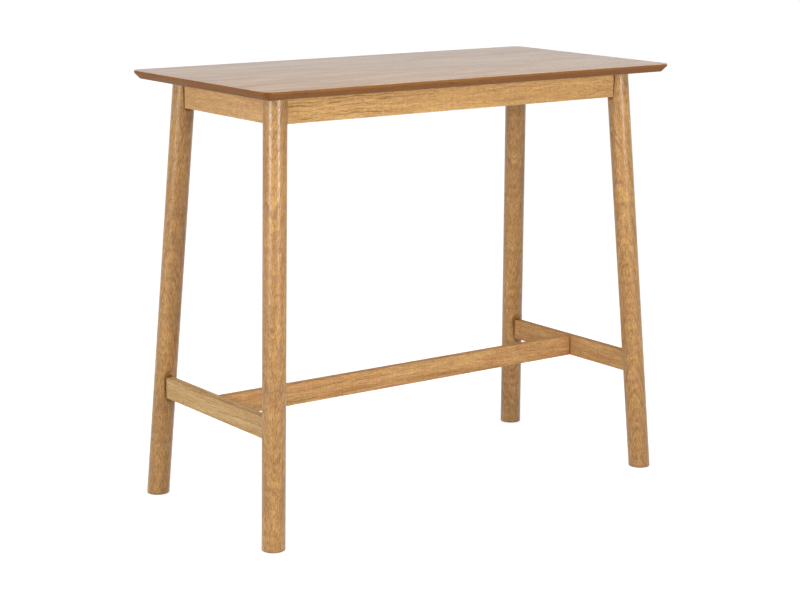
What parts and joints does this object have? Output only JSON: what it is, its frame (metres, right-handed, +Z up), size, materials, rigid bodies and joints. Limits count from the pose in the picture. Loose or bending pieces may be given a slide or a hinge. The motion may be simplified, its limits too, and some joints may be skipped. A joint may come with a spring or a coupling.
{
  "type": "bar table",
  "caption": "Tall rectangular wooden table with a bevelled top on splayed round legs, aprons and low stretchers in an H, for standing at or for use with high stools.",
  "frame": {"origin": "on the floor, under the middle of the table top", "axes": "+X along the length of the top, +Y across its depth from the front to the back, +Z up"},
  "size_m": [1.2, 0.6, 1.05],
  "materials": {
    "face_veneer": "oak veneer, long fine grain, matt clear lacquer",
    "core_board": "blockboard, unfinished",
    "backing_veneer": "oak backing veneer, matt",
    "lipping_wood": "solid hardwood stained golden brown, satin lacquer",
    "leg_wood": "turned solid hardwood stained golden brown, satin lacquer",
    "apron_wood": "solid hardwood stained golden brown, satin lacquer",
    "stretcher_wood": "solid hardwood stained golden brown, satin lacquer",
    "plated_steel": "zinc-plated steel, dull bright",
    "glide_felt": "pressed felt"
  },
  "bodies": {
    "root": {"top_face_veneer": "face_veneer", "top_core": "core_board", "top_backing_veneer": "backing_veneer", "lipping_front": "lipping_wood", "lipping_back": "lipping_wood", "lipping_left": "lipping_wood", "lipping_right": "lipping_wood", "leg_front_left": "leg_wood", "leg_front_right": "leg_wood", "leg_back_left": "leg_wood", "leg_back_right": "leg_wood", "apron_front": "apron_wood", "apron_back": "apron_wood", "apron_left": "apron_wood", "apron_right": "apron_wood", "side_stretcher_left": "stretcher_wood", "side_stretcher_right": "stretcher_wood", "long_stretcher": "stretcher_wood", "corner_bracket_front_left": "plated_steel", "corner_bracket_front_right": "plated_steel", "corner_bracket_back_left": "plated_steel", "corner_bracket_back_right": "plated_steel", "hanger_bolts": "plated_steel", "bracket_washers": "plated_steel", "bracket_nuts": "plated_steel", "top_screws": "plated_steel", "foot_glides": "glide_felt"}
  },
  "joints": []
}
